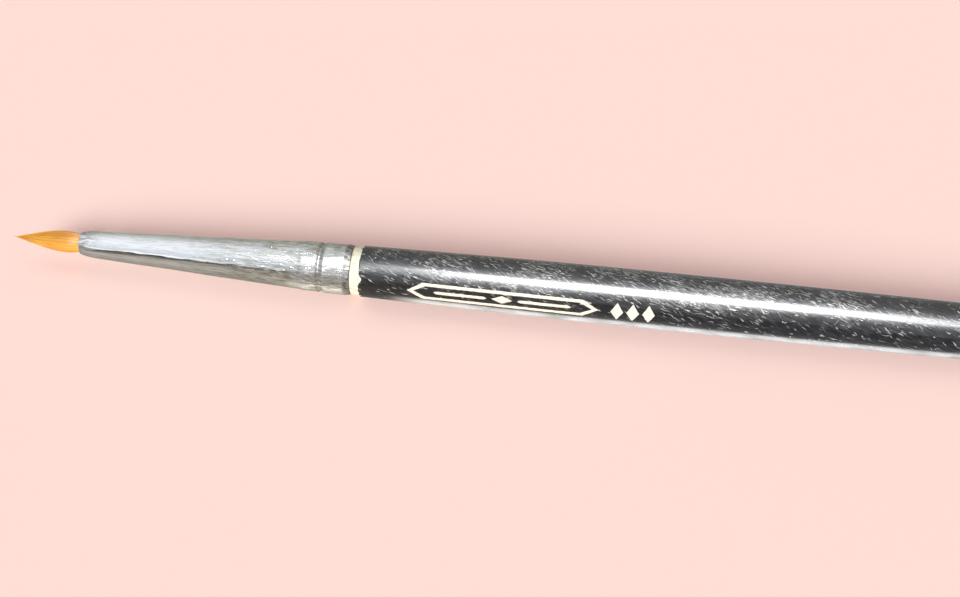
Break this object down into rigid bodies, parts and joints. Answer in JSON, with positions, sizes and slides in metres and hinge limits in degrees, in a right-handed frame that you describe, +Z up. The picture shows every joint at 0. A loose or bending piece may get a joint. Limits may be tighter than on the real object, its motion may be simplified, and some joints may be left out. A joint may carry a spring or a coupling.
{
  "type": "fine detail brush",
  "caption": "Slim round brush: a pointed tuft of synthetic hair in a crimped conical metal ferrule, on a black lacquered wooden handle with a rounded end.",
  "frame": {"origin": "on the surface that the brush lies on, below the middle of its length", "axes": "+X along the brush, from the tuft's point to the handle's end; +Z up; the stamped marks face -Y, 11 degrees above the horizon"},
  "size_m": [0.17, 0.006, 0.006],
  "materials": {
    "hair": "translucent amber filaments",
    "thread": "plain twisted thread",
    "epoxy": "clear amber resin",
    "plated_metal": "nickel plated, worn satin",
    "glue": "dried adhesive",
    "wood": "bare turned hardwood",
    "primer": "chalky pale undercoat",
    "lacquer": "gloss black, scratched",
    "foil": "stamped ivory pigment foil"
  },
  "bodies": {
    "root": {"point_hairs": "hair", "belly_hairs": "hair", "root_binding": "thread", "root_epoxy": "epoxy", "ferrule": "plated_metal", "tenon_glue": "glue", "wood_handle": "wood", "primer_coat": "primer", "lacquer_coat": "lacquer", "foil_cartouche": "foil", "foil_lozenges": "foil"}
  },
  "joints": []
}
